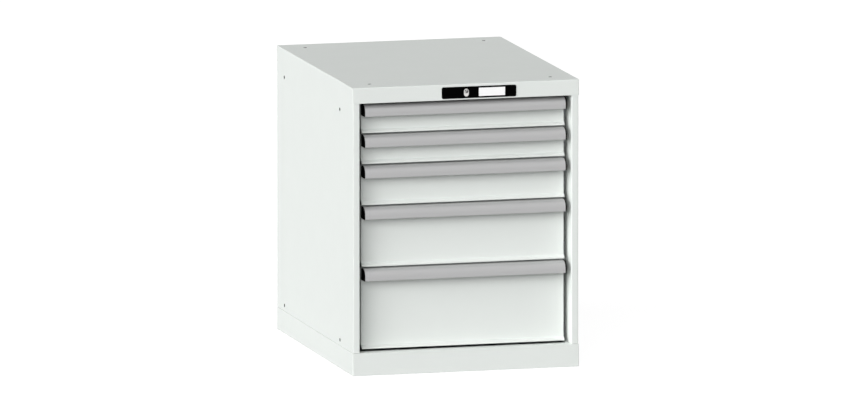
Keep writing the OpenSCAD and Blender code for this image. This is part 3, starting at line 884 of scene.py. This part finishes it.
class CABINET_OT_stage(bpy.types.Operator):
    """Floor, light and camera"""
    bl_idname = "cabinet.stage"
    bl_label = "Stage"

    def execute(self, context):
        scene = context.scene
        scene.view_settings.view_transform = "Standard"
        self.lay_floor(scene)
        self.light(scene)
        self.place_camera(scene)
        return {"FINISHED"}

    def seen(self, nodes):
        """One for rays that show the background: from the camera, a gloss or a glass."""
        path = nodes.add("ShaderNodeLightPath").outputs
        gloss = nodes.reckon("MAXIMUM", path["Is Glossy Ray"], path["Is Transmission Ray"])
        return nodes.reckon("MAXIMUM", path["Is Camera Ray"], gloss)

    def lay_floor(self, scene):
        """A wide pale floor that keeps a faint shadow."""
        mesh = bpy.data.meshes.new("floor")
        corners = ((-1, -1), (1, -1), (1, 1), (-1, 1))
        mesh.from_pydata(
            [(x * FLOOR_HALF, y * FLOOR_HALF, -FLOOR_DROP) for x, y in corners], [],
            [range(len(corners))])
        material = bpy.data.materials.new("pale_floor")
        material.use_nodes = True
        material.node_tree.nodes.clear()
        nodes = NodeTree(material.node_tree)
        plain = nodes.first("ShaderNodeBsdfDiffuse", {
            "Color": (*scene.cabinet_colours.floor, 1.0)})
        faint = nodes.first("ShaderNodeBsdfDiffuse", {
            "Color": (FLOOR_SHADE, FLOOR_SHADE, FLOOR_SHADE, 1.0)})
        glow = nodes.first("ShaderNodeEmission", {"Strength": FLOOR_GLOW})
        shown = nodes.first("ShaderNodeAddShader", {0: faint, 1: glow})
        mix = nodes.first("ShaderNodeMixShader", {0: self.seen(nodes), 1: plain, 2: shown})
        nodes.add("ShaderNodeOutputMaterial", {"Surface": mix})
        floor = bpy.data.objects.new("floor", mesh)
        mesh.materials.append(material)
        scene.collection.objects.link(floor)

    def light(self, scene):
        """Even light all round, a wide lamp from the front left, and weaker ones around it."""
        world = bpy.data.worlds.new("studio")
        scene.world = world
        world.use_nodes = True
        world.node_tree.nodes.clear()
        nodes = NodeTree(world.node_tree)
        around, white = (
            nodes.first("ShaderNodeBackground", {"Color": WHITE, "Strength": strength})
            for strength in (AMBIENT, 1.0))
        mix = nodes.first("ShaderNodeMixShader", {0: self.seen(nodes), 1: around, 2: white})
        nodes.add("ShaderNodeOutputWorld", {"Surface": mix})
        for name, azimuth, elevation, strength, spread, shown in LAMPS:
            lamp = bpy.data.lights.new(name, "SUN")
            # a sun of pi shows a facing surface's colour as it is written
            lamp.energy = math.pi * strength
            lamp.angle = math.radians(spread)
            lamp_object = bpy.data.objects.new(name, lamp)
            lamp_object.visible_glossy = shown
            look_along(lamp_object, -direction(azimuth, elevation))
            scene.collection.objects.link(lamp_object)

    def place_camera(self, scene):
        """A long lens, so that parallel edges stay parallel as in the photograph."""
        camera = bpy.data.cameras.new("camera")
        camera.lens = LENS
        camera.sensor_width = SENSOR
        distance = VIEW_WIDTH * LENS / SENSOR + VIEW_BACK
        camera.clip_start = CLIP_START
        camera.clip_end = 2 * distance
        back = direction(VIEW_AZIMUTH, VIEW_ELEVATION)
        camera_object = bpy.data.objects.new("camera", camera)
        camera_object.location = Vector(VIEW_CENTRE) + back * distance
        look_along(camera_object, -back)
        scene.collection.objects.link(camera_object)
        scene.camera = camera_object


def direction(azimuth, elevation):
    """The way from the object to a place round it: azimuth 0 is in front, 90 on its right."""
    a, e = math.radians(azimuth), math.radians(elevation)
    return Vector((math.sin(a) * math.cos(e), -math.cos(a) * math.cos(e), math.sin(e)))


def look_along(thing, way):
    """Turns a lamp or the camera to look along a way, with its top upwards."""
    thing.rotation_mode = "QUATERNION"
    thing.rotation_quaternion = way.to_track_quat("-Z", "Y")


class CABINET_PT_panel(bpy.types.Panel):
    """Builds the cabinet piece by piece"""
    bl_idname = "CABINET_PT_panel"
    bl_label = "Drawer cabinet"
    bl_space_type = "VIEW_3D"
    bl_region_type = "UI"
    bl_category = "Cabinet"

    def draw(self, context):
        for operator in OPERATORS:
            self.layout.operator(operator.bl_idname)
        for group in (context.scene.cabinet_sizes, context.scene.cabinet_colours):
            box = self.layout.box()
            for name in group.__annotations__:
                box.prop(group, name)


OPERATORS = (
    CABINET_OT_housing,
    CABINET_OT_hole_shade_liners,
    CABINET_OT_rear_screws,
    CABINET_OT_runners,
    CABINET_OT_trays,
    CABINET_OT_fronts,
    CABINET_OT_handles,
    CABINET_OT_lock,
    CABINET_OT_stage,
)
CLASSES = (CabinetSizes, CabinetColours, *OPERATORS, CABINET_PT_panel)


def register():
    """Adds the classes, and the sizes and colours to the scene."""
    for cls in CLASSES:
        bpy.utils.register_class(cls)
    bpy.types.Scene.cabinet_sizes = PointerProperty(type=CabinetSizes)
    bpy.types.Scene.cabinet_colours = PointerProperty(type=CabinetColours)


def unregister():
    """Takes away what register added."""
    del bpy.types.Scene.cabinet_colours
    del bpy.types.Scene.cabinet_sizes
    for cls in reversed(CLASSES):
        bpy.utils.unregister_class(cls)


def main():
    """Builds the whole cabinet on its stage."""
    register()
    bpy.ops.cabinet.housing()
    bpy.ops.cabinet.hole_liners()
    bpy.ops.cabinet.rear_screws()
    bpy.ops.cabinet.runners()
    bpy.ops.cabinet.trays()
    bpy.ops.cabinet.fronts()
    bpy.ops.cabinet.handles()
    bpy.ops.cabinet.lock()
    bpy.ops.cabinet.stage()


if __name__ == "__main__":
    main()
